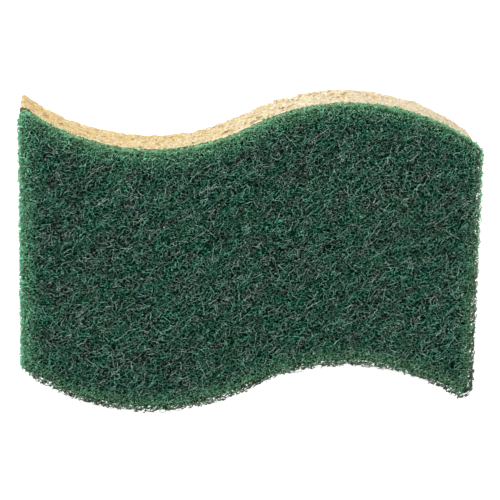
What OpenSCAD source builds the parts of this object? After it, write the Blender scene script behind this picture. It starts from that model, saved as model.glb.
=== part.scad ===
// Wavy kitchen scrub sponge: a block of cellulose sponge with a scouring pad of
// bonded fibre glued to one face. The laminate lies on its cellulose face with the
// pad on top. +X runs along the length and +Z from the sponge to the pad. The origin
// is at the middle of the face that it lies on.
//
// The two long edges are the same wave: a valley on the left and a crest on the
// right, both arcs of one radius, tangent where they meet. The lower edge is the
// upper one moved straight down, so that a row of sponges is cut from a slab with no
// waste between them.

/* [Outline] */
// Length between the two straight sides
sponge_length = 113; // [90:1:145]
// Height from one wavy edge to the other, the same all along the length
side_height = 66; // [50:1:85]
// Radius of the arcs that make the wavy edges
wave_radius = 52.8; // [40:0.1:80]
// Distance along X from the lowest point of the valley to the top of the crest
wave_spacing = 48.4; // [36:0.1:60]

/* [Corners] */
// Radius of the pointed corner at the upper left
upper_tip_radius = 1.2; // [0.6:0.1:3]
// Radius of the pointed corner at the lower right, blunter from handling
lower_tip_radius = 2.2; // [0.6:0.1:3]
// Radius of the two blunt corners
shoulder_radius = 2.4; // [1:0.1:5]

/* [Layers] */
// Thickness of the cellulose sponge
cellulose_thickness = 14.5; // [10:0.5:25]
// Thickness of the film of glue between the sponge and the pad
glue_thickness = 0.3; // [0.2:0.1:0.8]
// Thickness of the scouring pad
pad_thickness = 6; // [3:0.5:10]

/* [Hidden] */
$fn = 96;

half_length = sponge_length / 2;
half_height = side_height / 2;
half_spacing = wave_spacing / 2;

// Slope of a wavy edge where its two arcs meet, at the middle of the length
wave_lean = asin(half_spacing / wave_radius);

// How far an arc's centre lies above or below that meeting point
centre_rise = wave_radius * cos(wave_lean);

// Bottom of the pad
pad_z = cellulose_thickness + glue_thickness;

// Size of the plain shapes that the outline is trimmed from, well past it all round
reach = 2 * (sponge_length + side_height);

// Each corner round is set this much further out than a tangent one, so that it
// crosses the two edges it joins and doesn't just graze them.
corner_overlap = 0.01;

// Centre of the round of a pointed corner on the upper edge, between the left side
// and the valley's arc
function tip_centre(radius) =
    let (
        inset = radius - corner_overlap,
        x = inset - half_length,
        from_arc = wave_radius + inset
    )
    [x, half_height + centre_rise - sqrt(pow(from_arc, 2) - pow(x + half_spacing, 2))];

// Centre of the round of a blunt corner on the upper edge, between the crest's arc
// and the right side
function shoulder_centre(radius) =
    let (
        inset = radius - corner_overlap,
        x = half_length - inset,
        from_arc = wave_radius - inset
    )
    [x, half_height - centre_rise + sqrt(pow(from_arc, 2) - pow(x - half_spacing, 2))];

// The space that the valley's arc holds, left of the point where the arcs meet. That
// point is the origin, with the slope of the edge there along X.
module valley_space() {
    intersection() {
        translate([-reach, 0]) square(reach);
        translate([0, wave_radius]) union() {
            circle(r = wave_radius);
            rotate(-wave_lean) translate([-reach, 0]) square([2 * reach, reach]);
        }
    }
}

// Everything above one wavy edge. Half a turn about the point where the arcs meet
// maps the valley onto the crest.
module above_edge(edge_y) {
    translate([0, edge_y]) rotate(wave_lean) {
        valley_space();
        difference() {
            translate([0, -reach]) square([reach, 2 * reach]);
            rotate(180) valley_space();
        }
    }
}

// Takes a corner off outside its round, between the directions from and to. The cut
// reaches far enough for the slim corners that a long sponge has.
module corner_cut(centre, radius, from, to) {
    far = 8 * radius;
    directions = [from, (from + to) / 2, to];
    translate(centre) difference() {
        polygon([[0, 0], for (a = directions) [far * cos(a), far * sin(a)]]);
        circle(r = radius);
    }
}

// The two corners of the upper edge
module upper_corner_cuts(tip_radius) {
    tip = tip_centre(tip_radius);
    to_valley = [-half_spacing, half_height + centre_rise] - tip;
    corner_cut(tip, tip_radius, atan2(to_valley.y, to_valley.x), 180);

    shoulder = shoulder_centre(shoulder_radius);
    from_crest = shoulder - [half_spacing, half_height - centre_rise];
    corner_cut(shoulder, shoulder_radius, 0, atan2(from_crest.y, from_crest.x));
}

// The outline of every layer. Half a turn maps the upper edge onto the lower one, so
// the lower corners reuse the upper ones' cuts.
module outline() {
    difference() {
        intersection() {
            translate([-half_length, -reach]) square([sponge_length, 2 * reach]);
            difference() {
                above_edge(-half_height);
                above_edge(half_height);
            }
        }
        upper_corner_cuts(upper_tip_radius);
        rotate(180) upper_corner_cuts(lower_tip_radius);
    }
}

module layer(bottom, thickness) {
    translate([0, 0, bottom]) linear_extrude(thickness) outline();
}

module cellulose_sponge() {
    color("#ead3a0") layer(0, cellulose_thickness);
}

module glue_film() {
    color("#8f7a3a") layer(cellulose_thickness, glue_thickness);
}

module scouring_pad() {
    color("#1f5a40") layer(pad_z, pad_thickness);
}

cellulose_sponge();
glue_film();
scouring_pad();
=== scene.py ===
# %% [markdown]
# # A wavy scrub sponge
#
# The sponge is a block of cellulose with a scouring pad glued on top. This lesson
# gives the three plain solids of the construction their looks: pores in the
# cellulose, a film of glue that shows along the joint, and a web of crimped fibres
# for the pad. The solids come in as a fixed frame, in metres, and each piece made
# here goes where its solid is.

import math

import bmesh
import bpy
from mathutils import Matrix, Vector, noise
from mathutils.bvhtree import BVHTree


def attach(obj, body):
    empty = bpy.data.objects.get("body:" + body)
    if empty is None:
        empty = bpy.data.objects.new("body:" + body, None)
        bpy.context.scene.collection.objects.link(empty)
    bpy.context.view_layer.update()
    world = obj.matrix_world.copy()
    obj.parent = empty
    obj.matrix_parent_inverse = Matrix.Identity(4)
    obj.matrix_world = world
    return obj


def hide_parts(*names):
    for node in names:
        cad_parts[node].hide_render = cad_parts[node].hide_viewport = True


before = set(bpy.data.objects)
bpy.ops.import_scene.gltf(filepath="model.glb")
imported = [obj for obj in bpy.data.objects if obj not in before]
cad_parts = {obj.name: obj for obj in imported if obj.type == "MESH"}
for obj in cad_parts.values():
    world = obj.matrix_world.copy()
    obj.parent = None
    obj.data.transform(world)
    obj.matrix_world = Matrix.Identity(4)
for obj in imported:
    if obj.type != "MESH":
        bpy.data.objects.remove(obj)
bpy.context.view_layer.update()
MM = 0.001
print("solids:", ", ".join(sorted(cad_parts)))

# %% [markdown]
# ## Two helpers
#
# Colours are written as the sRGB hex values that a paint program shows, and Blender
# wants them linear, so one function turns them. Every node tree, for shapes and for
# finishes, is built with one other function, which adds a node and fills its
# sockets with values or with links from earlier nodes. The kinds of node that come
# up most have short names.

# %% Colour and node helpers
MATH, VECTOR_MATH, MAP_RANGE = "ShaderNodeMath", "ShaderNodeVectorMath", "ShaderNodeMapRange"
MIX, NOISE, RAMP = "ShaderNodeMix", "ShaderNodeTexNoise", "ShaderNodeValToRGB"
SEPARATE, COMBINE = "ShaderNodeSeparateXYZ", "ShaderNodeCombineXYZ"
RANDOM, COMPARE = "FunctionNodeRandomValue", "FunctionNodeCompare"


def linear(hex_colour):
    """An sRGB hex value as linear red, green, blue and alpha."""
    parts = [int(hex_colour[i : i + 2], 16) / 255 for i in (1, 3, 5)]
    return [c / 12.92 if c <= 0.04045 else ((c + 0.055) / 1.055) ** 2.4 for c in parts] + [1.0]


def put(tree, kind, inputs=None, stops=(), **settings):
    """Adds a node. A socket is named or numbered, and takes a value, a socket or a
    node. The stops of a colour ramp are pairs of a position and an sRGB hex value."""
    node = tree.nodes.new(kind)
    for name, value in settings.items():
        setattr(node, name, value)
    for name, value in (inputs or {}).items():
        socket = node.inputs[name]
        if isinstance(value, bpy.types.Node):
            value = next(s for s in value.outputs if s.enabled)
        if isinstance(value, bpy.types.NodeSocket):
            tree.links.new(value, socket)
        else:
            socket.default_value = value
    if stops:
        elements = node.color_ramp.elements
        while len(elements) < len(stops):
            elements.new(0.5)
        for element, (position, colour) in zip(elements, stops):
            element.position = position
            element.color = linear(colour)
    return node


print("mid grey as a linear value:", round(linear("#808080")[0], 3))

# %% [markdown]
# ## The camera
#
# The photograph was taken with a long lens from above the far edge, a little to the
# left, so that a thin band of the cellulose shows behind the pad. A camera could be
# placed by eye, but the outline would then be off by several pixels. These numbers
# come from fitting the outline's projection to the one in the photograph.

# %% Camera
CAMERA_AT = Vector((-45.65, 163.31, 560.99)) * MM
CAMERA_AIM = Vector((-0.32, 2.92, 20.8)) * MM
CAMERA_ROLL = math.radians(-1.04)
LENS = 164.42

camera_data = bpy.data.cameras.new("camera")
camera_data.lens = LENS
camera_data.sensor_width = 36
camera_data.clip_start, camera_data.clip_end = 0.05, 20
camera = bpy.data.objects.new("camera", camera_data)
bpy.context.scene.collection.objects.link(camera)
bpy.context.scene.camera = camera

back = (CAMERA_AT - CAMERA_AIM).normalized()
across = Vector((0, 1, 0)).cross(back).normalized()
turned = Matrix((across, back.cross(across), back)).transposed()
camera.matrix_world = (
    Matrix.Translation(CAMERA_AT) @ turned.to_4x4() @ Matrix.Rotation(-CAMERA_ROLL, 4, "Z")
)
print("camera distance, mm:", round((CAMERA_AT - CAMERA_AIM).length / MM, 1))

# %% [markdown]
# ## Floor and light
#
# The sponge lies on a white floor under the soft light of a studio: a large lamp
# from the upper left, a weaker one from the right, and a white surround. Together
# they light a face that looks up at about the level where a colour renders as it is
# written. More light would turn the floor white but wash out the sponge. Instead
# the floor glows a little to the camera, so that it reads as white paper.

# %% Floor
FLOOR_HALF = 3.0
FLOOR_LEVEL = -0.05 * MM
PAPER_GLOW = 0.64


def new_material(name):
    """An empty material, its tree and its output node."""
    material = bpy.data.materials.new(name)
    material.use_nodes = True
    tree = material.node_tree
    tree.nodes.clear()
    return material, tree, tree.nodes.new("ShaderNodeOutputMaterial")


def mesh_object(name, mesh):
    """An object at the origin with that mesh."""
    thing = bpy.data.objects.new(name, mesh)
    bpy.context.scene.collection.objects.link(thing)
    return thing


corners = [(-1, -1), (1, -1), (1, 1), (-1, 1)]
corners = [(x * FLOOR_HALF, y * FLOOR_HALF, FLOOR_LEVEL) for x, y in corners]
floor_mesh = bpy.data.meshes.new("floor")
floor_mesh.from_pydata(corners, [], [(0, 1, 2, 3)])
floor = mesh_object("floor", floor_mesh)
white_paper, tree, output = new_material("white_paper")
seen = put(tree, "ShaderNodeLightPath").outputs
direct = put(tree, MATH, {0: seen["Is Camera Ray"], 1: seen["Is Glossy Ray"]}, operation="MAXIMUM")
direct = put(tree, MATH, {0: direct, 1: seen["Is Transmission Ray"]}, operation="MAXIMUM")
glow = put(tree, MATH, {0: direct, 1: PAPER_GLOW}, operation="MULTIPLY")
glow = put(tree, "ShaderNodeEmission", {"Color": linear("#ffffff"), "Strength": glow})
paper = put(tree, "ShaderNodeBsdfDiffuse", {"Color": linear("#f2f2f2")})
both = put(tree, "ShaderNodeAddShader", {0: paper, 1: glow})
tree.links.new(both.outputs[0], output.inputs["Surface"])
floor_mesh.materials.append(white_paper)
print("floor, m:", 2 * FLOOR_HALF, "square")

# %% World
SURROUND_LIGHT = 0.4
world = bpy.data.worlds.new("white_surround")
bpy.context.scene.world = world
world.use_nodes = True
tree = world.node_tree
tree.nodes.clear()
seen = put(tree, "ShaderNodeLightPath").outputs
direct = {0: seen["Is Camera Ray"], 1: seen["Is Transmission Ray"]}
direct = put(tree, MATH, direct, operation="MAXIMUM")
strength = put(tree, MAP_RANGE, {"Value": direct, "To Min": SURROUND_LIGHT, "To Max": 1.0})
surround = {"Color": linear("#ffffff"), "Strength": strength.outputs[0]}
put(tree, "ShaderNodeOutputWorld", {"Surface": put(tree, "ShaderNodeBackground", surround)})
print("surround lights at", SURROUND_LIGHT)

# %% Lamps
LAMPS = [
    ("key_softbox", (-0.55, 0.75, 0.75), 0.45, 9.2),
    ("fill_softbox", (0.7, 0.1, 0.9), 0.6, 3.5),
]
LAMP_AIM = Vector((0, 0, 0.01))
for name, at, size, power in LAMPS:
    light = bpy.data.lights.new(name, "AREA")
    light.size = size
    light.energy = power
    holder = bpy.data.objects.new(name, light)
    bpy.context.scene.collection.objects.link(holder)
    holder.location = at
    holder.rotation_mode = "QUATERNION"
    holder.rotation_quaternion = (LAMP_AIM - Vector(at)).to_track_quat("-Z", "Y")
    print(name, "gives", power, "W")

# %% [markdown]
# ## The outline
#
# Every layer is cut by the same wavy die. Each long edge is a valley and a crest of
# one radius, tangent where they meet, and the corners are rounded. The solids hold
# that outline already, but as few long triangles, which can't be pushed about. So
# it is drawn again here with points as close as each piece needs. Half a turn maps
# one long edge onto the other, so a function draws one half and turns it for the
# other. It can also draw the outline smaller, because parallels of arcs are arcs.

# %% The die's outline
LENGTH, HEIGHT = 113 * MM, 66 * MM
WAVE_RADIUS, WAVE_SPACING = 52.8 * MM, 48.4 * MM
UPPER_TIP, LOWER_TIP, SHOULDER = 1.2 * MM, 2.2 * MM, 2.4 * MM
LEAST_ROUND = 0.3 * MM

lean = math.asin(WAVE_SPACING / 2 / WAVE_RADIUS)
rise = WAVE_RADIUS * math.cos(lean)
valley_centre = Vector((-WAVE_SPACING / 2, HEIGHT / 2 + rise))
crest_centre = Vector((WAVE_SPACING / 2, HEIGHT / 2 - rise))


def arc(centre, radius, start, end, step):
    """Points on an arc from one angle to another, about a step apart."""
    count = max(3, math.ceil(abs(end - start) * radius / step))
    angles = [start + (end - start) * i / count for i in range(count + 1)]
    return [centre + radius * Vector((math.cos(a), math.sin(a))) for a in angles]


def half_outline(tip, inset, step):
    """The upper edge with its two corners, from right to left."""
    side = LENGTH / 2 - inset
    tip, shoulder = max(tip - inset, LEAST_ROUND), max(SHOULDER - inset, LEAST_ROUND)
    crest, valley = WAVE_RADIUS - inset, WAVE_RADIUS + inset
    x = side - shoulder - crest_centre.x
    blunt = crest_centre + Vector((x, math.sqrt((crest - shoulder) ** 2 - x * x)))
    x = tip - side - valley_centre.x
    sharp = valley_centre + Vector((x, -math.sqrt((valley + tip) ** 2 - x * x)))
    to_blunt = math.atan2(*(blunt - crest_centre).yx)
    to_sharp = math.atan2(*(sharp - valley_centre).yx)
    points = arc(blunt, shoulder, 0, to_blunt, step / 2)
    points += arc(crest_centre, crest, to_blunt, math.pi / 2 + lean, step)[1:]
    points += arc(valley_centre, valley, lean - math.pi / 2, to_sharp, step)[1:]
    return points + arc(sharp, tip, to_sharp + math.pi, math.pi, step / 2)[1:]


def outline(inset=0.0, step=1.0 * MM, tip=UPPER_TIP):
    """The whole outline, anticlockwise, drawn in by an inset."""
    lower = [-p for p in half_outline(LOWER_TIP, inset, step)]
    return half_outline(tip, inset, step) + lower


points = outline()
span = [max(p[i] for p in points) - min(p[i] for p in points) for i in (0, 1)]
print("outline:", len(points), "points, mm:", [round(s / MM, 2) for s in span])

# %% A layer of the outline
CELLULOSE_TOP, PAD_BOTTOM, PAD_TOP = 14.5 * MM, 14.8 * MM, 20.8 * MM


def prism(name, points, bottom, top, rows=1):
    """A closed mesh: an outline drawn up from one height to another."""
    mesh = bpy.data.meshes.new(name)
    count = len(points)
    heights = [bottom + (top - bottom) * r / rows for r in range(rows + 1)]
    verts = [(p.x, p.y, z) for z in heights for p in points]
    faces = [tuple(reversed(range(count))), tuple(range(rows * count, (rows + 1) * count))]
    for low in range(0, rows * count, count):
        for i in range(count):
            j = (i + 1) % count
            faces.append((low + i, low + j, low + count + j, low + count + i))
    mesh.from_pydata(verts, [], faces)
    return mesh_object(name, mesh)


def triangles(thing):
    """How many triangles a mesh object has."""
    return sum(len(p.vertices) - 2 for p in thing.data.polygons)


print("layers, mm:", [round(z / MM, 1) for z in (CELLULOSE_TOP, PAD_BOTTOM, PAD_TOP)])

# %% [markdown]
# ## Running a shape tree
#
# A Geometry Nodes tree is a recipe with named inputs. It could stay live on the
# object as a modifier, but a plain mesh is what every later step can read. So a
# helper puts a tree on an object, fills the inputs by their sockets' identifiers,
# works it out once and keeps the result as a mesh.

# %% Start and run a tree
def new_tree(name, *inputs):
    """A shape tree with a geometry in and out, and its named inputs."""
    tree = bpy.data.node_groups.new(name, "GeometryNodeTree")
    tree.interface.new_socket(name="Geometry", in_out="OUTPUT", socket_type="NodeSocketGeometry")
    for label, kind in (("Geometry", "Geometry"),) + inputs:
        tree.interface.new_socket(name=label, in_out="INPUT", socket_type="NodeSocket" + kind)
    return tree, tree.nodes.new("NodeGroupInput").outputs, tree.nodes.new("NodeGroupOutput").inputs


def run_tree(thing, tree, **values):
    """Puts the tree's result in place of the object's mesh."""
    modifier = thing.modifiers.new(tree.name, "NODES")
    modifier.node_group = tree
    for item in tree.interface.items_tree:
        name = item.name.lower().replace(" ", "_")
        if item.in_out == "INPUT" and name in values:
            modifier[item.identifier] = values[name]
    thing.update_tag()
    result = thing.evaluated_get(bpy.context.evaluated_depsgraph_get())
    mesh = bpy.data.meshes.new_from_object(result)
    thing.modifiers.clear()
    thing.data = mesh
    print(tree.name, "made", triangles(thing), "triangles of", thing.name)


# %% [markdown]
# ## The cellulose block: pores
#
# Cellulose sponge is cast as a wet paste full of salt crystals, which are melted
# out and leave open cells of every size, so a cut face is a field of pits with thin
# ragged walls. Bump alone would leave the edges of the block dead straight. Here
# lumpy grains are scattered over the skin and cut away, as the salt was: coarse
# grains first, then finer ones, which also land inside the coarse pits.

# %% Pore tree: where the grains lie
MM2_PER_M2 = 1e6
tree, given, result = new_tree(
    "grain_pits",
    ("Grains", "Float"),
    ("Smallest", "Float"),
    ("Largest", "Float"),
    ("Roundness", "Int"),
    ("Underside share", "Float"),
    ("Top", "Float"),
    ("Seed", "Int"),
)
here = put(tree, "GeometryNodeInputPosition")
height = put(tree, SEPARATE, {0: here}).outputs["Z"]
open_skin = put(tree, COMPARE, {0: height, 1: given["Top"]}, operation="LESS_THAN")
facing = put(tree, SEPARATE, {0: put(tree, "GeometryNodeInputNormal")}).outputs["Z"]
is_under = put(tree, COMPARE, {0: facing, 1: -0.5}, operation="LESS_THAN")
share = {0: is_under, 1: MM2_PER_M2, 2: given["Underside share"]}
share = put(tree, "GeometryNodeSwitch", share, input_type="FLOAT")
per_m2 = put(tree, MATH, {0: given["Grains"], 1: share}, operation="MULTIPLY")
spots = put(
    tree,
    "GeometryNodeDistributePointsOnFaces",
    {"Mesh": given["Geometry"], "Selection": open_skin, "Density": per_m2, "Seed": given["Seed"]},
)
grain_pits = tree
print("grain_pits so far:", len(tree.nodes), "nodes")

# %% Pore tree: a few lumpy grains
# Each is a ball that its own noise pushes out of round
GRAIN_SHAPES = 7
grains = put(tree, "GeometryNodeJoinGeometry")
ball = {"Radius": 1.0, "Subdivisions": given["Roundness"]}
ball = put(tree, "GeometryNodeMeshIcoSphere", ball)
for i in range(GRAIN_SHAPES):
    lumps = {"Vector": here, "W": 3.7 * i, "Scale": 1.1, "Detail": 1.0}
    lumps = put(tree, NOISE, lumps, noise_dimensions="4D").outputs["Color"]
    lumps = put(tree, VECTOR_MATH, {0: lumps, 1: (0.5, 0.5, 0.5)}, operation="SUBTRACT")
    lumps = put(tree, VECTOR_MATH, {0: lumps, "Scale": 1.5}, operation="SCALE")
    lumpy = put(tree, "GeometryNodeSetPosition", {"Geometry": ball, "Offset": lumps})
    lumpy = put(tree, "GeometryNodeGeometryToInstance", {0: lumpy})
    tree.links.new(lumpy.outputs[0], grains.inputs[0])
print("grain shapes:", GRAIN_SHAPES)

# %% Pore tree: size, place and cut
# Most grains are near the smallest size
dice = put(tree, RANDOM, {"Seed": given["Seed"]}, data_type="FLOAT").outputs[1]
skewed = put(tree, MATH, {0: dice, 1: 2.2}, operation="POWER")
radius = {"Value": skewed, "To Min": given["Smallest"], "To Max": given["Largest"]}
radius = put(tree, MAP_RANGE, radius).outputs[0]
flattest, longest = (0.7,) * 3, (1.35,) * 3
stretch = put(tree, RANDOM, {0: flattest, 1: longest, "Seed": 5}, data_type="FLOAT_VECTOR")
grain_size = put(tree, VECTOR_MATH, {0: stretch.outputs[0], "Scale": radius}, operation="SCALE")
turn = put(tree, RANDOM, {1: (6.28, 6.28, 6.28), "Seed": 6}, data_type="FLOAT_VECTOR")
# A grain sits a little under the skin or a little above it
level = put(tree, RANDOM, {2: -0.65, 3: 0.25, "Seed": 7}, data_type="FLOAT").outputs[1]
level = put(tree, MATH, {0: level, 1: radius}, operation="MULTIPLY")
level = put(tree, VECTOR_MATH, {0: spots.outputs["Normal"], "Scale": level}, operation="SCALE")
spots = {"Geometry": spots.outputs["Points"], "Offset": level}
spots = put(tree, "GeometryNodeSetPosition", spots)
scattered = put(
    tree,
    "GeometryNodeInstanceOnPoints",
    {
        "Points": spots,
        "Instance": grains,
        "Pick Instance": True,
        "Rotation": turn.outputs[0],
        "Scale": grain_size,
    },
)
cut = {"Mesh 1": given["Geometry"], "Mesh 2": scattered}
cut = put(tree, "GeometryNodeMeshBoolean", cut, operation="DIFFERENCE", solver="MANIFOLD")
tree.links.new(cut.outputs[0], result[0])
print("grain_pits:", len(tree.nodes), "nodes")

# %% [markdown]
# ## Cutting the pores
#
# The die tears the soft cellulose as it cuts, so the sides of the block are tufted
# and not flat. The block is drawn with many rows of points up its sides, and two
# sizes of noise push them in and out before the pores are cut. Displacing the
# finished mesh instead would tear the thin walls between the pits. The yellow corner
# at the upper left is drawn sharper than the die's, because it is frayed to a point.

# %% Block with its pores
SIDE_ROWS = 18
FRAYED_TIP = 0.5 * MM
# How far each noise pushes the sides and how long its tufts are, in mm
TUFTS = [(0.62, 1.1), (0.3, 5)]
# Both cuts of the pores: grains per mm2, their least and most radius, their
# roundness and the seed
GRAIN_CUTS = [(0.045, 0.5, 1.4, 2, 11), (0.33, 0.2, 0.7, 1, 23)]
UNDERSIDE_SHARE = 0.33

block_outline = outline(step=0.75 * MM, tip=FRAYED_TIP)
block = prism("cellulose_block", block_outline, 0, CELLULOSE_TOP, rows=SIDE_ROWS)
for v in block.data.vertices:
    if v.co.z < CELLULOSE_TOP - 0.1 * MM:
        push = sum(far * noise.noise(v.co / (long * MM)) for far, long in TUFTS)
        v.co.xy += v.co.xy.normalized() * push * MM
skin = BVHTree.FromObject(block, bpy.context.evaluated_depsgraph_get())
for grains_per_mm2, least, most, roundness, seed in GRAIN_CUTS:
    run_tree(
        block,
        grain_pits,
        grains=grains_per_mm2,
        smallest=least * MM,
        largest=most * MM,
        roundness=roundness,
        underside_share=UNDERSIDE_SHARE * MM2_PER_M2,
        top=CELLULOSE_TOP - 0.05 * MM,
        seed=seed,
    )

# %% [markdown]
# Each vertex keeps how deep it lies under the skin, in millimetres, for the finish
# to read, which paints the pits darker with depth as painted shade. The pit walls
# are smooth and their rims are sharp.

# %% Depth of the pits
SHARP_RIM = math.radians(62)
depth = block.data.attributes.new("pit_depth", "FLOAT", "POINT")
depth.data.foreach_set("value", [skin.find_nearest(v.co)[3] / MM for v in block.data.vertices])
block.data.shade_smooth()
block.data.set_sharp_from_angle(angle=SHARP_RIM)
print("deepest pit, mm:", round(max(d.value for d in depth.data), 2))

# %% [markdown]
# ## The cellulose's finish
#
# Dry cellulose is a matt cream with stronger yellow patches where the dye pooled.
# The pits, the drawn pores and some of the specks are painted tan to brown, which
# is painted shade, and the palest specks are painted highlights. An image could hold
# that, but it would stretch on the pit walls. Noises that read the place in the block
# have no seams and run through the walls as the dye does. Each is one layer of colour
# over the last. The real pores go down to a tenth of a millimetre, which is finer
# than a pixel here, so the ones in the finish are drawn half a millimetre across.

# %% Cellulose: noises and masks
cast_cellulose, tree, output = new_material("cast_cellulose")
place = put(tree, "ShaderNodeTexCoord").outputs["Object"]
xyz = put(tree, SEPARATE, {0: place}).outputs
# Patches of stronger dye, about 7 mm across
patches = {"Vector": place, "Scale": 140, "Detail": 3, "Roughness": 0.6}
patches = put(tree, NOISE, patches)
# Specks under 1 mm, tan to near white: partly the sponge's own mottling, partly painted shade of fine pits
# and painted highlights
specks = {"Vector": place, "Scale": 1500, "Detail": 3, "Roughness": 0.75}
specks = put(tree, NOISE, specks)
# Blotches of 1 to 2 mm, the high ones strong yellow and the low ones a pinkish tan
blotches = {"Vector": place, "Scale": 480, "Detail": 2, "Roughness": 0.6}
blotches = put(tree, NOISE, blotches).outputs[0]
yellow = {"Value": blotches, "From Min": 0.59, "From Max": 0.64, "To Max": 0.7}
pink = {"Value": blotches, "From Min": 0.44, "From Max": 0.34, "To Max": 0.6}
# Pores about 0.5 mm across
cells = put(tree, "ShaderNodeTexVoronoi", {"Vector": place, "Scale": 1900, "Randomness": 1.0})
pores = {"Value": cells.outputs["Distance"], "From Min": 0.12, "From Max": 0.42, "To Min": 1, "To Max": 0}
pores = put(tree, MAP_RANGE, pores).outputs[0]
# Painted shade in the drawn pores: half their strength goes to a tan
painted_pore_shade = put(tree, MATH, {0: pores, 1: 0.5}, operation="MULTIPLY").outputs[0]
print("cast_cellulose so far:", len(tree.nodes), "nodes")

# %% Cellulose: layers of colour
pit = put(tree, "ShaderNodeAttribute", attribute_name="pit_depth").outputs["Fac"]
# Painted shade: tan to brown the deeper a point lies in a pit
painted_pit_shade = {"Value": pit, "From Min": 0.0, "From Max": 2.4, "To Max": 0.6}
# Deeper yellow and darker towards the left end, paler towards the crest
deeper_to_left = {"Value": xyz["X"], "From Min": -56 * MM, "From Max": 0.0, "To Min": 1.0, "To Max": 0.0}
paler_to_crest = {"Value": xyz["X"], "From Min": -5 * MM, "From Max": 15 * MM, "To Max": 0.15}
# A paler line over the top millimetre of the block, just under the glue
paler_top_line = {"Value": xyz["Z"], "From Min": 13.2 * MM, "From Max": 14.2 * MM, "To Max": 0.55}
speck_shade_and_highlight = [(0.38, "#b6955c"), (0.46, "#e2cc97"), (0.53, "#f6eacc"), (0.62, "#fffaf0")]
speck_shade_and_highlight = put(tree, RAMP, {0: specks.outputs[0]}, stops=speck_shade_and_highlight).outputs[0]
layers = [
    (0.75, speck_shade_and_highlight, "MIX"),
    (put(tree, MAP_RANGE, yellow).outputs[0], linear("#ecd274"), "MIX"),
    (put(tree, MAP_RANGE, pink).outputs[0], linear("#d5ac84"), "MIX"),
    (painted_pore_shade, linear("#bf9a66"), "MIX"),
    (put(tree, MAP_RANGE, painted_pit_shade).outputs[0], linear("#c49d64"), "MIX"),
    (put(tree, MAP_RANGE, deeper_to_left).outputs[0], linear("#fff4dc"), "MULTIPLY"),
    (put(tree, MAP_RANGE, paler_to_crest).outputs[0], linear("#fffaf0"), "SCREEN"),
    (put(tree, MAP_RANGE, paler_top_line).outputs[0], linear("#faf0d6"), "MIX"),
]
skin_colour = put(tree, RAMP, {0: patches.outputs[0]}, stops=[(0.38, "#f3e5bb"), (0.66, "#e9d498")])
skin_colour = skin_colour.outputs[0]
for share, colour, way in layers:
    both = {0: share, 6: skin_colour, 7: colour}
    skin_colour = put(tree, MIX, both, data_type="RGBA", blend_type=way).outputs[2]
print("layers of colour on the cellulose:", 1 + len(layers))

# %% Cellulose: dents and surface
# Dents of the fine pores over the grain of the walls, which is 0.4 mm and finer
grain = put(tree, NOISE, {"Vector": place, "Scale": 2600, "Detail": 4, "Roughness": 0.7})
relief = put(tree, MATH, {0: grain.outputs[0], 1: 0.5}, operation="MULTIPLY")
relief = put(tree, MATH, {0: relief, 1: pores}, operation="SUBTRACT")
dents = put(tree, "ShaderNodeBump", {"Strength": 0.7, "Distance": 0.18 * MM, "Height": relief})
# Matt, with a little light that passes through the thin walls
shader = put(
    tree,
    "ShaderNodeBsdfPrincipled",
    {
        "Base Color": skin_colour,
        "Roughness": 0.85,
        "IOR": 1.47,
        "Specular IOR Level": 0.25,
        "Subsurface Weight": 0.12,
        "Subsurface Radius": (1.0, 0.7, 0.4),
        "Subsurface Scale": 0.5 * MM,
        "Normal": dents,
    },
)
tree.links.new(shader.outputs[0], output.inputs["Surface"])
block.data.materials.clear()
block.data.materials.append(cast_cellulose)
print("cast_cellulose:", len(tree.nodes), "nodes")

# %% [markdown]
# ## The glue film
#
# The film is squeezed out a little as the layers are pressed together, so its edge
# wanders in and out of the joint, and a bead of it stands at the pointed corner. It
# could be painted on as a line, but then it would catch no light. It is the outline
# again, with many points, each pushed along its own normal by a smooth noise.

# %% Glue film
# How far the edge stands out, and how far each noise pushes it and how long its
# waves are, in mm
FILM_PROUD = 0.05
WANDER = [(0.15, 2.2), (0.25, 0.7)]
CORNER = Vector((-55.6, 36.3)) * MM
CORNER_PUSH, CORNER_REACH = 0.6, 1.6

points = outline(step=0.35 * MM)
edge = []
for i, p in enumerate(points):
    along = (points[(i + 1) % len(points)] - points[i - 1]).normalized()
    outward = Vector((along.y, -along.x))
    push = FILM_PROUD
    for far, long in WANDER:
        push += far * noise.noise(Vector((p.x, p.y, 0)) / (long * MM))
    to_corner = (p - CORNER).length / MM
    push += CORNER_PUSH * math.exp(-((to_corner / CORNER_REACH) ** 2))
    edge.append(p + outward * push * MM)
film = prism("glue_bead", edge, CELLULOSE_TOP, PAD_BOTTOM)
print("glue film:", triangles(film), "triangles")

# %% Bead at the corner
# A ball pushed out of round
BEAD_AT = Vector((-56.1 * MM, 37.3 * MM, PAD_BOTTOM + 0.2 * MM))
BEAD_RADII = (0.65, 0.45, 0.45)

bead = bmesh.new()
bead.from_mesh(film.data)
for v in bmesh.ops.create_icosphere(bead, subdivisions=3, radius=1.0)["verts"]:
    lump = 1 + 0.5 * noise.noise(v.co * 1.7)
    v.co = BEAD_AT + Vector([r * c for r, c in zip(BEAD_RADII, v.co)]) * lump * MM
bead.to_mesh(film.data)
bead.free()
film.data.shade_smooth()
film.data.set_sharp_from_angle(angle=math.radians(40))
print("with its bead:", triangles(film), "triangles")

# %% Material: hot-melt glue
# Half clear, so that the green of the pad and the cream of the cellulose both show
# through it, in streaks of about 1 mm; its dark olive is partly painted shade in the
# joint. It is smoother than either and shines a little.
hotmelt_glue, tree, output = new_material("hotmelt_glue")
place = put(tree, "ShaderNodeTexCoord").outputs["Object"]
streaks = {"Vector": place, "Scale": 900, "Detail": 3, "Roughness": 0.7}
streaks = put(tree, NOISE, streaks).outputs[0]
streaks = put(tree, MAP_RANGE, {"Value": streaks, "From Min": 0.4, "From Max": 0.6})
film_and_joint_shade = {0: streaks, 6: linear("#47633f"), 7: linear("#b3a878")}
film_and_joint_shade = put(tree, MIX, film_and_joint_shade, data_type="RGBA").outputs[2]
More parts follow.
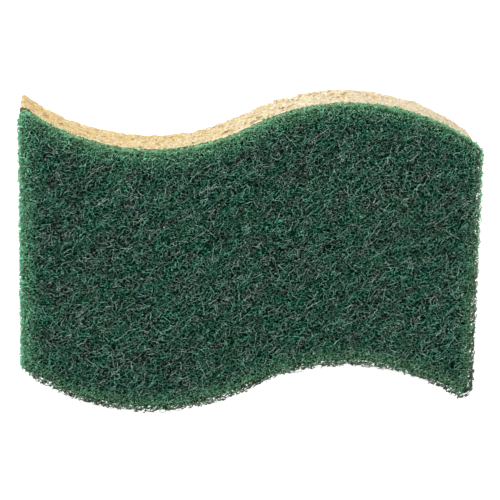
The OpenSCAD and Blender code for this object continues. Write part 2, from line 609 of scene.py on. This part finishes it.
# Browner at the pointed corner, where the bead is
x = put(tree, SEPARATE, {0: place}).outputs["X"]
thick = {"Value": x, "From Min": -54.5 * MM, "From Max": -55.3 * MM, "To Max": 0.85}
film_and_joint_shade = {0: put(tree, MAP_RANGE, thick), 6: film_and_joint_shade, 7: linear("#6e5f33")}
film_and_joint_shade = put(tree, MIX, film_and_joint_shade, data_type="RGBA").outputs[2]
shader = {"Base Color": film_and_joint_shade, "Roughness": 0.4, "IOR": 1.48}
shader = put(tree, "ShaderNodeBsdfPrincipled", shader)
tree.links.new(shader.outputs[0], output.inputs["Surface"])
film.data.materials.append(hotmelt_glue)
print("hotmelt_glue:", len(tree.nodes), "nodes")

# %% [markdown]
# ## The scouring pad: its heart
#
# The pad is a lofty web of crimped nylon, sprayed with green resin and grit. Light
# only reaches a millimetre or so into it. Strands all the way down would take
# millions of triangles that nobody sees. So the heart of the pad is one dark rough
# body a little smaller than the pad, and loose strands lie over it on all sides.
# Its skin is remeshed evenly and then pushed in and out by a noise. Each point keeps
# how far it lies from the cut edge, in millimetres, for the finish to read.

# %% Tree that roughens the heart
STORE = "GeometryNodeStoreNamedAttribute"


def from_walls(tree, piece):
    """How far a point lies from the upright walls of a piece."""
    facing = put(tree, SEPARATE, {0: put(tree, "GeometryNodeInputNormal")}).outputs["Z"]
    upright = put(tree, MATH, {0: facing}, operation="ABSOLUTE")
    is_wall = put(tree, COMPARE, {0: upright, 1: 0.5}, operation="LESS_THAN")
    walls = {"Geometry": piece, "Selection": is_wall}
    walls = put(tree, "GeometryNodeSeparateGeometry", walls, domain="FACE")
    near = put(tree, "GeometryNodeProximity", {"Target": walls}, target_element="FACES")
    return near.outputs["Distance"]


tree, given, result = new_tree(
    "rough_heart",
    ("Bumps", "Float"),
    ("Bump size", "Float"),
    ("Floor", "Float"),
    ("Inset", "Float"),
)
here = put(tree, "GeometryNodeInputPosition")
from_edge = {0: from_walls(tree, given["Geometry"]), 1: given["Inset"]}
from_edge = put(tree, MATH, from_edge, operation="ADD")
from_edge = put(tree, MATH, {0: from_edge, 1: 1 / MM}, operation="MULTIPLY")
known = {"Geometry": given["Geometry"], "Name": "from_edge", "Value": from_edge}
known = put(tree, STORE, known, data_type="FLOAT", domain="POINT")
# The bumps fade out over the lowest millimetre, so that none reaches the glue
height = put(tree, SEPARATE, {0: here}).outputs["Z"]
clear = put(tree, MATH, {0: given["Floor"], 1: 1.0 * MM}, operation="ADD")
free = put(tree, MAP_RANGE, {"Value": height, "From Min": given["Floor"], "From Max": clear})
fineness = put(tree, MATH, {0: 1.0, 1: given["Bump size"]}, operation="DIVIDE")
bumps = put(tree, NOISE, {"Vector": here, "Scale": fineness, "Detail": 2.0}).outputs[0]
bumps = put(tree, MATH, {0: bumps, 1: 0.5}, operation="SUBTRACT")
for share in (given["Bumps"], free):
    bumps = put(tree, MATH, {0: bumps, 1: share}, operation="MULTIPLY")
normal = put(tree, "GeometryNodeInputNormal")
offset = put(tree, VECTOR_MATH, {0: normal, "Scale": bumps}, operation="SCALE")
moved = put(tree, "GeometryNodeSetPosition", {"Geometry": known, "Offset": offset})
tree.links.new(moved.outputs[0], result[0])
rough_heart = tree
print("rough_heart:", len(tree.nodes), "nodes")

# %% Make the heart
HEART_INSET = 0.55 * MM
HEART_TOP = PAD_TOP - 0.4 * MM
heart = prism("pad_heart", outline(inset=HEART_INSET), PAD_BOTTOM, HEART_TOP)
remesh = heart.modifiers.new("even_skin", "REMESH")
remesh.mode = "VOXEL"
remesh.voxel_size = 1.0 * MM
remeshed = heart.evaluated_get(bpy.context.evaluated_depsgraph_get())
heart.data = bpy.data.meshes.new_from_object(remeshed)
heart.modifiers.clear()
shape = {"bumps": 0.6 * MM, "bump_size": 1.5 * MM, "floor": PAD_BOTTOM, "inset": HEART_INSET}
run_tree(heart, rough_heart, **shape)
heart.data.shade_smooth()

# %% [markdown]
# ## The scouring pad: its strands
#
# A strand starts at a random spot and depth in the pad and runs in a random
# direction, more often along the way the web was carded. Its crimp is a noise read
# along its length, so that no two are alike. Hair could do this, but hair is no
# mesh. The tree makes the points of every strand at once, also of those that start
# outside, drops the points that the die cuts off, joins each strand's points to a
# curve, and gives the curves a three-sided section, because there are thousands
# and the thickest is a third of a millimetre.

# %% Strand tree: inside and outside the die
DELETE, BOOLEAN = "GeometryNodeDeleteGeometry", "FunctionNodeBooleanMath"
tree, given, result = new_tree(
    "crimped_strands",
    ("Strands", "Float"),
    ("Whole face", "Bool"),
    ("Reach", "Float"),
    ("Least depth", "Float"),
    ("Most depth", "Float"),
    ("Length", "Float"),
    ("Knots", "Int"),
    ("Thickness", "Float"),
    ("Crimp wave", "Float"),
    ("Crimp height", "Float"),
    ("Carded way", "Float"),
    ("Bottom", "Float"),
    ("Top", "Float"),
    ("Seed", "Int"),
    ("Finish", "Material"),
)
from_wall = from_walls(tree, given["Geometry"])
here = put(tree, "GeometryNodeInputPosition")
xyz = put(tree, SEPARATE, {0: here}).outputs
# A ray straight down from high above a point meets the die where it is inside
above = put(tree, COMBINE, {0: xyz["X"], 1: xyz["Y"], 2: 1.0})
ray = {"Target Geometry": given["Geometry"], "Ray Direction": (0, 0, -1), "Ray Length": 2.0}
inside = put(tree, "GeometryNodeRaycast", {**ray, "Source Position": above}).outputs["Is Hit"]
print("crimped_strands has", len(tree.interface.items_tree) - 2, "inputs")

# %% Strand tree: starts
# On a sheet larger than the pad, each sunk to its own depth
SHEET_LENGTH, SHEET_WIDTH = 120 * MM, 85 * MM
sheet = {"Size X": SHEET_LENGTH, "Size Y": SHEET_WIDTH, "Vertices X": 2, "Vertices Y": 2}
sheet = put(tree, "GeometryNodeMeshGrid", sheet)
per_m2 = put(tree, MATH, {0: given["Strands"], 1: MM2_PER_M2}, operation="MULTIPLY")
spread = put(tree, MATH, {0: per_m2}, operation="SQRT")
spread = put(tree, MATH, {0: 0.6, 1: spread}, operation="DIVIDE")
crowd = put(tree, MATH, {0: per_m2, 1: 1.6}, operation="MULTIPLY")
starts = {"Mesh": sheet, "Distance Min": spread, "Density Max": crowd, "Seed": given["Seed"]}
starts = put(tree, "GeometryNodeDistributePointsOnFaces", starts, distribute_method="POISSON")
sunk = {2: given["Least depth"], 3: given["Most depth"], "Seed": 1}
sunk = put(tree, RANDOM, sunk, data_type="FLOAT").outputs[1]
level = put(tree, MATH, {0: given["Top"], 1: sunk}, operation="SUBTRACT")
starts = {"Geometry": starts.outputs["Points"], "Offset": put(tree, COMBINE, {2: level})}
starts = put(tree, "GeometryNodeSetPosition", starts)
# Only those near the rim stay, or those on the whole face as well
near = put(tree, COMPARE, {0: from_wall, 1: given["Reach"]}, operation="LESS_THAN")
on_face = put(tree, BOOLEAN, {0: inside, 1: given["Whole face"]}, operation="AND")
keep = put(tree, BOOLEAN, {0: near, 1: on_face}, operation="OR")
drop = put(tree, BOOLEAN, {0: keep}, operation="NOT")
starts = put(tree, DELETE, {"Geometry": starts, "Selection": drop}, domain="POINT")
print("sheet, mm:", round(SHEET_LENGTH / MM), "by", round(SHEET_WIDTH / MM))

# %% Strand tree: headings and knots
# Each strand keeps its number, its heading and its shade. The power draws the
# headings in towards the carded way.
swing = put(tree, RANDOM, {2: -1.0, 3: 1.0, "Seed": 2}, data_type="FLOAT").outputs[1]
wide = put(tree, MATH, {0: swing}, operation="ABSOLUTE")
wide = put(tree, MATH, {0: wide, 1: 0.7}, operation="POWER")
swing = put(tree, MATH, {0: swing, 1: wide}, operation="MULTIPLY")
heading = {0: swing, 1: math.pi / 2, 2: given["Carded way"]}
heading = put(tree, MATH, heading, operation="MULTIPLY_ADD")
shade = put(tree, RANDOM, {"Seed": 3}, data_type="FLOAT").outputs[1]
own = [
    ("strand", put(tree, "GeometryNodeInputIndex"), "INT"),
    ("heading", heading, "FLOAT"),
    ("shade", shade, "FLOAT"),
]
for name, value, kind in own:
    starts = {"Geometry": starts, "Name": name, "Value": value}
    starts = put(tree, STORE, starts, data_type=kind, domain="POINT")
knots = {"Geometry": starts, "Amount": given["Knots"]}
knots = put(tree, "GeometryNodeDuplicateElements", knots, domain="POINT")
heading = put(tree, "GeometryNodeInputNamedAttribute", {"Name": "heading"}, data_type="FLOAT").outputs[0]
strand = put(tree, "GeometryNodeInputNamedAttribute", {"Name": "strand"}, data_type="INT").outputs[0]
print("each strand keeps:", ", ".join(name for name, value, kind in own))

# %% Strand tree: the path with its crimp
# Where a knot lies along its strand, in metres from the middle
last = put(tree, MATH, {0: given["Knots"], 1: 1.0}, operation="SUBTRACT")
along = put(tree, MATH, {0: knots.outputs["Duplicate Index"], 1: last}, operation="DIVIDE")
along = put(tree, MATH, {0: along, 1: 0.5}, operation="SUBTRACT")
along = put(tree, MATH, {0: along, 1: given["Length"]}, operation="MULTIPLY")
dip = put(tree, RANDOM, {2: -0.3, 3: 0.3, "ID": strand, "Seed": 4}, data_type="FLOAT").outputs[1]
cosine = put(tree, MATH, {0: heading}, operation="COSINE")
sine = put(tree, MATH, {0: heading}, operation="SINE")
path = put(tree, COMBINE, {0: cosine, 1: sine, 2: dip})
path = put(tree, VECTOR_MATH, {0: path, "Scale": along}, operation="SCALE")
# The crimp, from a noise with one coordinate along the strand and one per strand
phase = put(tree, MATH, {0: along, 1: given["Crimp wave"]}, operation="DIVIDE")
lane = put(tree, MATH, {0: strand, 1: 3.37}, operation="MULTIPLY")
read_at = put(tree, COMBINE, {0: phase, 1: lane, 2: given["Seed"]})
crimp = {"Vector": read_at, "Scale": 1.0, "Detail": 1.0, "Roughness": 0.5}
crimp = put(tree, NOISE, crimp).outputs["Color"]
crimp = put(tree, VECTOR_MATH, {0: crimp, 1: (0.5, 0.5, 0.5)}, operation="SUBTRACT")
crimp = put(tree, VECTOR_MATH, {0: crimp, 1: (4.0, 4.0, 2.0)}, operation="MULTIPLY")
crimp = put(tree, VECTOR_MATH, {0: crimp, "Scale": given["Crimp height"]}, operation="SCALE")
path = put(tree, VECTOR_MATH, {0: path, 1: crimp}, operation="ADD")
laid = {"Geometry": knots.outputs["Geometry"], "Offset": path}
laid = put(tree, "GeometryNodeSetPosition", laid)
# Knots stay between the glue and the top, where some stand a little proud
proud = {2: 0.0, 3: 0.25 * MM, "ID": strand, "Seed": 5}
proud = put(tree, RANDOM, proud, data_type="FLOAT").outputs[1]
ceiling = put(tree, MATH, {0: given["Top"], 1: proud}, operation="ADD")
level = put(tree, MATH, {0: xyz["Z"], 1: ceiling}, operation="MINIMUM")
level = put(tree, MATH, {0: level, 1: given["Bottom"]}, operation="MAXIMUM")
level = put(tree, COMBINE, {0: xyz["X"], 1: xyz["Y"], 2: level})
laid = put(tree, "GeometryNodeSetPosition", {"Geometry": laid, "Position": level})
print("crimped_strands so far:", len(tree.nodes), "nodes")

# %% Strand tree: the cut of the die
# The die cuts a little unevenly, and each knot keeps how far it lies from the cut
# edge and from the skin, in millimetres
CUT_JITTER = (1.5 * MM, 1.5 * MM, 0)
jitter = put(tree, NOISE, {"Vector": here, "Scale": 1600, "Detail": 0}).outputs["Color"]
jitter = put(tree, VECTOR_MATH, {0: jitter, 1: (0.5, 0.5, 0.5)}, operation="SUBTRACT")
jitter = put(tree, VECTOR_MATH, {0: jitter, 1: CUT_JITTER, 2: above}, operation="MULTIPLY_ADD")
uneven = put(tree, "GeometryNodeRaycast", {**ray, "Source Position": jitter}).outputs["Is Hit"]
cut_off = put(tree, BOOLEAN, {0: uneven}, operation="NOT")
laid = put(tree, DELETE, {"Geometry": laid, "Selection": cut_off}, domain="POINT")
edge_mm = put(tree, MATH, {0: from_wall, 1: 1 / MM}, operation="MULTIPLY")
under_top = put(tree, MATH, {0: given["Top"], 1: xyz["Z"]}, operation="SUBTRACT")
under_top = put(tree, MATH, {0: under_top, 1: 1 / MM}, operation="MULTIPLY")
under_skin = put(tree, MATH, {0: under_top, 1: edge_mm}, operation="MINIMUM")
for name, value in (("from_edge", edge_mm), ("under_skin", under_skin)):
    laid = {"Geometry": laid, "Name": name, "Value": value}
    laid = put(tree, STORE, laid, data_type="FLOAT", domain="POINT")
print("the cut wanders by up to, mm:", CUT_JITTER[0] / 2 / MM)

# %% Strand tree: tubes
SHORTEST = 0.3 * MM
number = put(tree, "GeometryNodeInputIndex")
strands = {"Points": laid, "Curve Group ID": strand, "Weight": number}
strands = put(tree, "GeometryNodePointsToCurves", strands)
run_length = put(tree, "GeometryNodeSplineLength").outputs["Length"]
stub = put(tree, COMPARE, {0: run_length, 1: SHORTEST}, operation="LESS_THAN")
strands = put(tree, DELETE, {"Geometry": strands, "Selection": stub}, domain="CURVE")
half = put(tree, MATH, {0: given["Thickness"], 1: 0.5}, operation="MULTIPLY")
section = put(tree, "GeometryNodeCurvePrimitiveCircle", {"Resolution": 3, "Radius": half})
stout = put(tree, RANDOM, {2: 0.75, 3: 1.2, "ID": strand, "Seed": 6}, data_type="FLOAT")
tubes = {"Curve": strands, "Profile Curve": section, "Scale": stout.outputs[1], "Fill Caps": True}
tubes = put(tree, "GeometryNodeCurveToMesh", tubes)
tubes = put(tree, "GeometryNodeSetShadeSmooth", {"Geometry": tubes})
whole = put(tree, "GeometryNodeRealizeInstances", {0: tubes})
dressed = put(tree, "GeometryNodeSetMaterial", {"Geometry": whole, "Material": given["Finish"]})
tree.links.new(dressed.outputs[0], result[0])
crimped_strands = tree
print("crimped_strands:", len(tree.nodes), "nodes")

# %% [markdown]
# ## The pad's finish
#
# The resin is a deep bottle green. It lies thicker in some places, where the green
# is stronger, and thinner in others, where the grey of the grit shows. Those
# patches are about 2 mm wide and 5 mm long and follow the carding. Light and shade
# are painted round the rim: it is painted paler, as the open web there takes light
# from the side, and its ends are painted darker along the lower edge.
# One colour for each strand would be simpler, but the pad's colour changes along a
# strand too, so the finish reads each point's place and its distance from the edge.

# %% Patches of the resin
CARDED_WAY = math.radians(38)


def carded_patches(tree, place):
    """A noise drawn out along the carding: 0.5 on average."""
    turned = {"Vector": place, "Rotation": (0, 0, -CARDED_WAY)}
    drawn = {"Vector": put(tree, "ShaderNodeMapping", turned), "Scale": (0.4, 1.0, 1.0)}
    drawn = put(tree, "ShaderNodeMapping", drawn)
    return put(tree, NOISE, {"Vector": drawn, "Scale": 520, "Detail": 3, "Roughness": 0.6}).outputs[0]


def catch_light(tree, place, colour, per_metre, least, most):
    """The colour made paler and darker in fine spots: partly the grit's own tone, partly
    painted glints and painted shade where a strand catches or misses the light. Real
    grit is a tenth of a millimetre and finer, and is drawn about four times as coarse
    to show at all."""
    grit = put(tree, NOISE, {"Vector": place, "Scale": per_metre, "Detail": 2, "Roughness": 0.8})
    share = {"Value": grit.outputs[0], "From Min": 0.4, "From Max": 0.64, "To Min": least, "To Max": most}
    share = put(tree, MAP_RANGE, share)
    return put(tree, VECTOR_MATH, {0: colour, "Scale": share}, operation="SCALE").outputs[0]


print("carded way, degrees:", round(math.degrees(CARDED_WAY)))


# %% Painted rim light and shade
def paint_rim_light_and_shade(tree, place, colour):
    """How much painted light the rim gets, and the colour with that painted light on the rim and painted
    shade near its lower edge.
    """
    from_edge = put(tree, "ShaderNodeAttribute", attribute_name="from_edge").outputs["Fac"]
    xyz = put(tree, SEPARATE, {0: place}).outputs
    # Painted light over the outer millimetres, and most of all at the left end
    rim = {"Value": from_edge, "From Min": 0.1, "From Max": 6.0, "To Min": 0.88, "To Max": 0.0}
    rim = put(tree, MATH, {0: put(tree, MAP_RANGE, rim), 1: 2.4}, operation="POWER")
    end = {"Value": xyz["X"], "From Min": -56.3 * MM, "From Max": -49.5 * MM, "To Min": 1.0, "To Max": 0.0}
    end = put(tree, MATH, {0: put(tree, MAP_RANGE, end), 1: 3.0}, operation="POWER")
    rim = put(tree, MATH, {0: rim, 1: end}, operation="MAXIMUM")
    # Less so along the upper edge, the further right the less
    upper = {"Value": xyz["Y"], "From Min": -15 * MM, "From Max": 15 * MM}
    upper = put(tree, MATH, {0: put(tree, MAP_RANGE, upper), 1: end}, operation="MAXIMUM")
    right = {"Value": xyz["X"], "From Min": -10 * MM, "From Max": 20 * MM, "To Min": -0.08, "To Max": -0.45}
    less = {0: put(tree, MAP_RANGE, right), 1: upper, 2: 1.0}
    less = put(tree, MATH, less, operation="MULTIPLY_ADD")
    rim = put(tree, MATH, {0: rim, 1: less}, operation="MULTIPLY")
    # The upper wall itself gets more painted light than the face, most of all at the crest
    wall = {"Value": from_edge, "From Min": 0.2, "From Max": 1.1, "To Min": 0.5, "To Max": 0.0}
    crest = {"Value": xyz["X"], "From Min": -5 * MM, "From Max": 15 * MM, "To Min": 1.0, "To Max": 1.7}
    wall = {0: put(tree, MAP_RANGE, wall), 1: put(tree, MAP_RANGE, crest)}
    wall = {0: put(tree, MATH, wall, operation="MULTIPLY"), 1: upper, 2: rim}
    rim = put(tree, MATH, wall, operation="MULTIPLY_ADD", use_clamp=True)
    # The painted light is yellower below, cooler above and palest at the left end
    painted_light = {0: upper, 6: linear("#84cc90"), 7: linear("#7ec898")}
    painted_light = {0: end, 6: put(tree, MIX, painted_light, data_type="RGBA").outputs[2], 7: linear("#88e0b4")}
    painted_light = {0: rim, 6: colour, 7: put(tree, MIX, painted_light, data_type="RGBA").outputs[2]}
    colour = put(tree, MIX, painted_light, data_type="RGBA").outputs[2]
    # Painted light on the side wall near the glue: paler and yellower towards the bottom
    painted_light_near_glue = {"Value": xyz["Z"], "From Min": PAD_BOTTOM + 0.5 * MM, "From Max": PAD_BOTTOM + 5.6 * MM}
    painted_light_near_glue = put(tree, MAP_RANGE, {**painted_light_near_glue, "To Min": 0.9, "To Max": 0.0})
    painted_light_near_glue = put(tree, MATH, {0: painted_light_near_glue, 1: 0.6}, operation="POWER")
    painted_light_near_glue = {0: painted_light_near_glue, 6: colour, 7: linear("#b0dca6")}
    colour = put(tree, MIX, painted_light_near_glue, data_type="RGBA").outputs[2]
    # Painted shade near the cut edge, most of all along the lower edge
    cut = {"Value": from_edge, "From Min": 0.3, "From Max": 1.0, "To Min": 1.0, "To Max": 0.0}
    below = {"Value": xyz["Y"], "From Min": -20 * MM, "From Max": 10 * MM, "To Min": -0.9, "To Max": -0.05}
    lower = {0: end, 1: 0.8, 2: put(tree, MAP_RANGE, below)}
    lower = put(tree, MATH, lower, operation="MULTIPLY_ADD")
    lower = put(tree, MATH, {0: lower, 1: 0.0}, operation="MINIMUM")
    cut = {0: put(tree, MAP_RANGE, cut), 1: lower, 2: 1.0}
    cut = put(tree, MATH, cut, operation="MULTIPLY_ADD")
    return rim, put(tree, VECTOR_MATH, {0: colour, "Scale": cut}, operation="SCALE").outputs[0]


print("fresh rim at the left end, linear:", [round(c, 2) for c in linear("#88e0b4")[:3]])

# %% [markdown]
# Nylon fibre coated with resin is half matt: the resin is smooth and the grit on it
# is not. Each strand has its own shade, from nearly black to a pale green, and the
# palest, almost white, are painted highlights. A strand that lies deeper under the
# skin gets less light than the lamps alone would show, because the web above it is
# denser than the strands that are drawn, so its colour goes down with its depth, as
# painted shade.

# %% Material: resin-coated nylon
resin_strand, tree, output = new_material("resin_coated_nylon")
place = put(tree, "ShaderNodeTexCoord").outputs["Object"]
resin = [(0.36, "#3a4841"), (0.5, "#1f5645"), (0.66, "#08684c")]
resin = put(tree, RAMP, {0: carded_patches(tree, place)}, stops=resin)
own = put(tree, "ShaderNodeAttribute", attribute_name="shade").outputs["Fac"]
# Each strand's own tone, whose palest end is painted highlight
tone_and_highlight = [(0.0, "#0c3828"), (0.5, "#509a80"), (0.85, "#b2f0d8"), (1.0, "#f2fffa")]
tone_and_highlight = put(tree, RAMP, {0: own}, stops=tone_and_highlight)
colour = {0: 0.6, 6: resin.outputs[0], 7: tone_and_highlight.outputs[0]}
colour = put(tree, MIX, colour, data_type="RGBA").outputs[2]
rim, colour = paint_rim_light_and_shade(tree, place, colour)
colour = catch_light(tree, place, colour, 2600, 0.4, 1.9)
# Painted shade further under the skin, but less of it where the rim light is painted
under_skin = put(tree, "ShaderNodeAttribute", attribute_name="under_skin").outputs["Fac"]
lost = {"Value": under_skin, "From Min": 0.1, "From Max": 0.5, "To Max": 0.97}
lit = put(tree, MATH, {0: rim, 1: -0.45, 2: 1.0}, operation="MULTIPLY_ADD")
lost = put(tree, MATH, {0: put(tree, MAP_RANGE, lost), 1: lit}, operation="MULTIPLY")
colour = {0: lost, 6: colour, 7: linear("#02170e")}
colour = put(tree, MIX, colour, data_type="RGBA").outputs[2]
# Here and there a bright grain of grit, 0.3 mm across and 6 mm from the next
grit = put(tree, "ShaderNodeTexVoronoi", {"Vector": place, "Scale": 160}, voronoi_dimensions="2D")
bright = {"Value": grit.outputs["Distance"], "From Min": 0.025, "From Max": 0.02}
colour = {0: put(tree, MAP_RANGE, bright), 6: colour, 7: linear("#e6efe8")}
colour = put(tree, MIX, colour, data_type="RGBA").outputs[2]
gloss = put(tree, MAP_RANGE, {"Value": lost, "To Min": 0.35, "To Max": 0.0})
shader = {"Base Color": colour, "Roughness": 0.38, "IOR": 1.5, "Specular IOR Level": gloss}
shader = put(tree, "ShaderNodeBsdfPrincipled", shader)
tree.links.new(shader.outputs[0], output.inputs["Surface"])
print("resin_coated_nylon:", len(tree.nodes), "nodes")

# %% [markdown]
# Below the loose strands the web is too dense to lay strand by strand, so the
# heart's finish draws it: two nets of bent cell edges, one over the other, half a
# millimetre to one millimetre from strand to strand. Its resin is painted darker
# than on the loose strands, the lower net darker still and the gaps between them
# nearly black, which is painted shade of the depth; the upper net is painted
# paler, as lit. The real web is finer still, and its smallest gaps are left out,
# because they are smaller than a pixel here.

# %% Nets of strands
def strand_net(tree, place, size_mm, bend_mm, seed):
    """Distance to the nearest strand of a bent net with cells of that size."""
    moved = {"Location": (seed, 0, 0), "Rotation": (0, 0, -CARDED_WAY), "Scale": (0.75, 1, 1)}
    moved = put(tree, "ShaderNodeMapping", {"Vector": place, **moved})
    bend = {"Vector": moved, "Scale": 0.9 / (size_mm * MM), "Detail": 1}
    bend = put(tree, NOISE, bend).outputs["Color"]
    bend = put(tree, VECTOR_MATH, {0: bend, 1: (0.5, 0.5, 0.5)}, operation="SUBTRACT")
    bend = put(tree, VECTOR_MATH, {0: bend, "Scale": bend_mm * MM}, operation="SCALE")
    bent = put(tree, VECTOR_MATH, {0: moved, 1: bend}, operation="ADD")
    net = {"Vector": bent, "Scale": 1 / (size_mm * MM)}
    net = put(tree, "ShaderNodeTexVoronoi", net, feature="DISTANCE_TO_EDGE")
    return net.outputs["Distance"]


web, tree, output = new_material("resin_bonded_web")
place = put(tree, "ShaderNodeTexCoord").outputs["Object"]
UPPER_NET, LOWER_NET = (0.8, 1.1, 3.0), (0.55, 0.7, 8.0)
upper = strand_net(tree, place, *UPPER_NET)
upper = {"Value": upper, "From Min": 0.02, "From Max": 0.1, "To Min": 1, "To Max": 0}
lower = strand_net(tree, place, *LOWER_NET)
lower = {"Value": lower, "From Min": 0.02, "From Max": 0.12, "To Min": 1, "To Max": 0}
lower = put(tree, MAP_RANGE, lower)
# The upper strands are broken up
breaks = put(tree, NOISE, {"Vector": place, "Scale": 1400, "Detail": 2}).outputs[0]
breaks = put(tree, MAP_RANGE, {"Value": breaks, "From Min": 0.35, "From Max": 0.6})
upper = put(tree, MATH, {0: put(tree, MAP_RANGE, upper), 1: breaks}, operation="MULTIPLY")
print("nets with cells of, mm:", UPPER_NET[0], "and", LOWER_NET[0])

# %% Material: resin-bonded web
patches = carded_patches(tree, place)
# The web's resin, painted darker than on the loose strands, as shade
resin = [(0.36, "#232e29"), (0.5, "#0d3a2c"), (0.66, "#00432f")]
resin = put(tree, RAMP, {0: patches}, stops=resin).outputs[0]
lit_upper_net = put(tree, RAMP, {0: patches}, stops=[(0.38, "#7a9088"), (0.64, "#4f9e84")]).outputs[0]
# The lower net over nearly black gaps as painted shade, the upper net paler as painted light
colour = {0: lower, 6: linear("#010703"), 7: paint_rim_light_and_shade(tree, place, resin)[1]}
colour = put(tree, MIX, colour, data_type="RGBA").outputs[2]
colour = {0: upper, 6: colour, 7: paint_rim_light_and_shade(tree, place, lit_upper_net)[1]}
colour = put(tree, MIX, colour, data_type="RGBA").outputs[2]
colour = catch_light(tree, place, colour, 2800, 0.0, 2.55)
relief = put(tree, MATH, {0: upper, 1: 1.5, 2: lower}, operation="MULTIPLY_ADD")
raised = put(tree, "ShaderNodeBump", {"Strength": 0.6, "Distance": 0.2 * MM, "Height": relief})
gloss = put(tree, MATH, {0: upper, 1: 0.15}, operation="MULTIPLY")
shader = {"Base Color": colour, "Roughness": 0.6, "Specular IOR Level": gloss, "Normal": raised}
shader = put(tree, "ShaderNodeBsdfPrincipled", shader)
tree.links.new(shader.outputs[0], output.inputs["Surface"])
heart.data.materials.clear()
heart.data.materials.append(web)
print("resin_bonded_web:", len(tree.nodes), "nodes")

# %% [markdown]
# ## Laying the strands
#
# The loose strands lie in layers over the whole face, low, middle and high, a few
# long ones on top, stouter ones round the rim, and short cut ends that make its
# fringe. One dense layer would read as fur. Thin layers over the drawn net keep the
# dark gaps between strands, and each is a piece that can be left out.

# %% Lay the strands
# Each row is a piece: its name, strands per mm2, whether they cover the whole face,
# the least and most depth, the length, the knots, the thickness and the seed
LAYS = [
    ("pad_strands_low", 0.1, True, 0.25, 0.4, 2.2, 7, 0.12, 31),
    ("pad_strands_middle", 0.15, True, 0.1, 0.25, 2.0, 7, 0.11, 32),
    ("pad_strands_high", 0.65, True, 0.0, 0.12, 2.0, 8, 0.12, 33),
    ("pad_strands_long", 0.03, True, 0.0, 0.1, 5.0, 15, 0.13, 36),
    ("pad_cut_ends", 9.0, False, 0.0, 3.5, 1.5, 5, 0.27, 37),
    ("pad_strands_rim_upper", 1.8, False, 0.0, 3.0, 3.0, 10, 0.27, 34),
    ("pad_strands_rim_lower", 2.0, False, 3.0, 5.9, 3.2, 10, 0.3, 35),
]
# The fringe stands proud of the cut, less so low down. It crimps more than the face.
FRINGE_PROUD, LOW_FRINGE_PROUD = 0.7 * MM, 0.3 * MM
FACE_CRIMP, RIM_CRIMP = (0.8, 0.25), (0.6, 0.36)

strand_pieces = []
for name, strands_per_mm2, whole_face, least, most, length, knot_count, thick, seed in LAYS:
    proud = LOW_FRINGE_PROUD if least > 2 else FRINGE_PROUD
    crimp_wave, crimp_height = FACE_CRIMP if whole_face else RIM_CRIMP
    piece = prism(name, outline(inset=-proud), PAD_BOTTOM, PAD_TOP)
    run_tree(
        piece,
        crimped_strands,
        strands=strands_per_mm2,
        whole_face=whole_face,
        reach=min(2.1, length / 2) * MM,
        least_depth=least * MM,
        most_depth=most * MM,
        length=length * MM,
        knots=knot_count,
        thickness=thick * MM,
        crimp_wave=crimp_wave * MM,
        crimp_height=crimp_height * MM,
        carded_way=CARDED_WAY,
        bottom=PAD_BOTTOM + 0.15 * MM,
        top=PAD_TOP,
        seed=seed,
        finish=resin_strand,
    )
    strand_pieces.append(piece)

# %% [markdown]
# ## Riding on the body
#
# Each piece rides on the one body there is and stands for its plain solid, which
# is hidden. Both layers are foam-like.

# %% Ride and replace
made = [(block, "cellulose_sponge", "cellulose"), (film, "glue_film", "adhesive")]
made += [(piece, "scouring_pad", "scouring_fibre") for piece in [heart] + strand_pieces]
for piece, node, slot in made:
    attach(piece, "root")
    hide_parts(node)

bpy.context.scene.view_settings.view_transform = "Standard"
print("triangles in all:", sum(triangles(piece) for piece, node, slot in made))
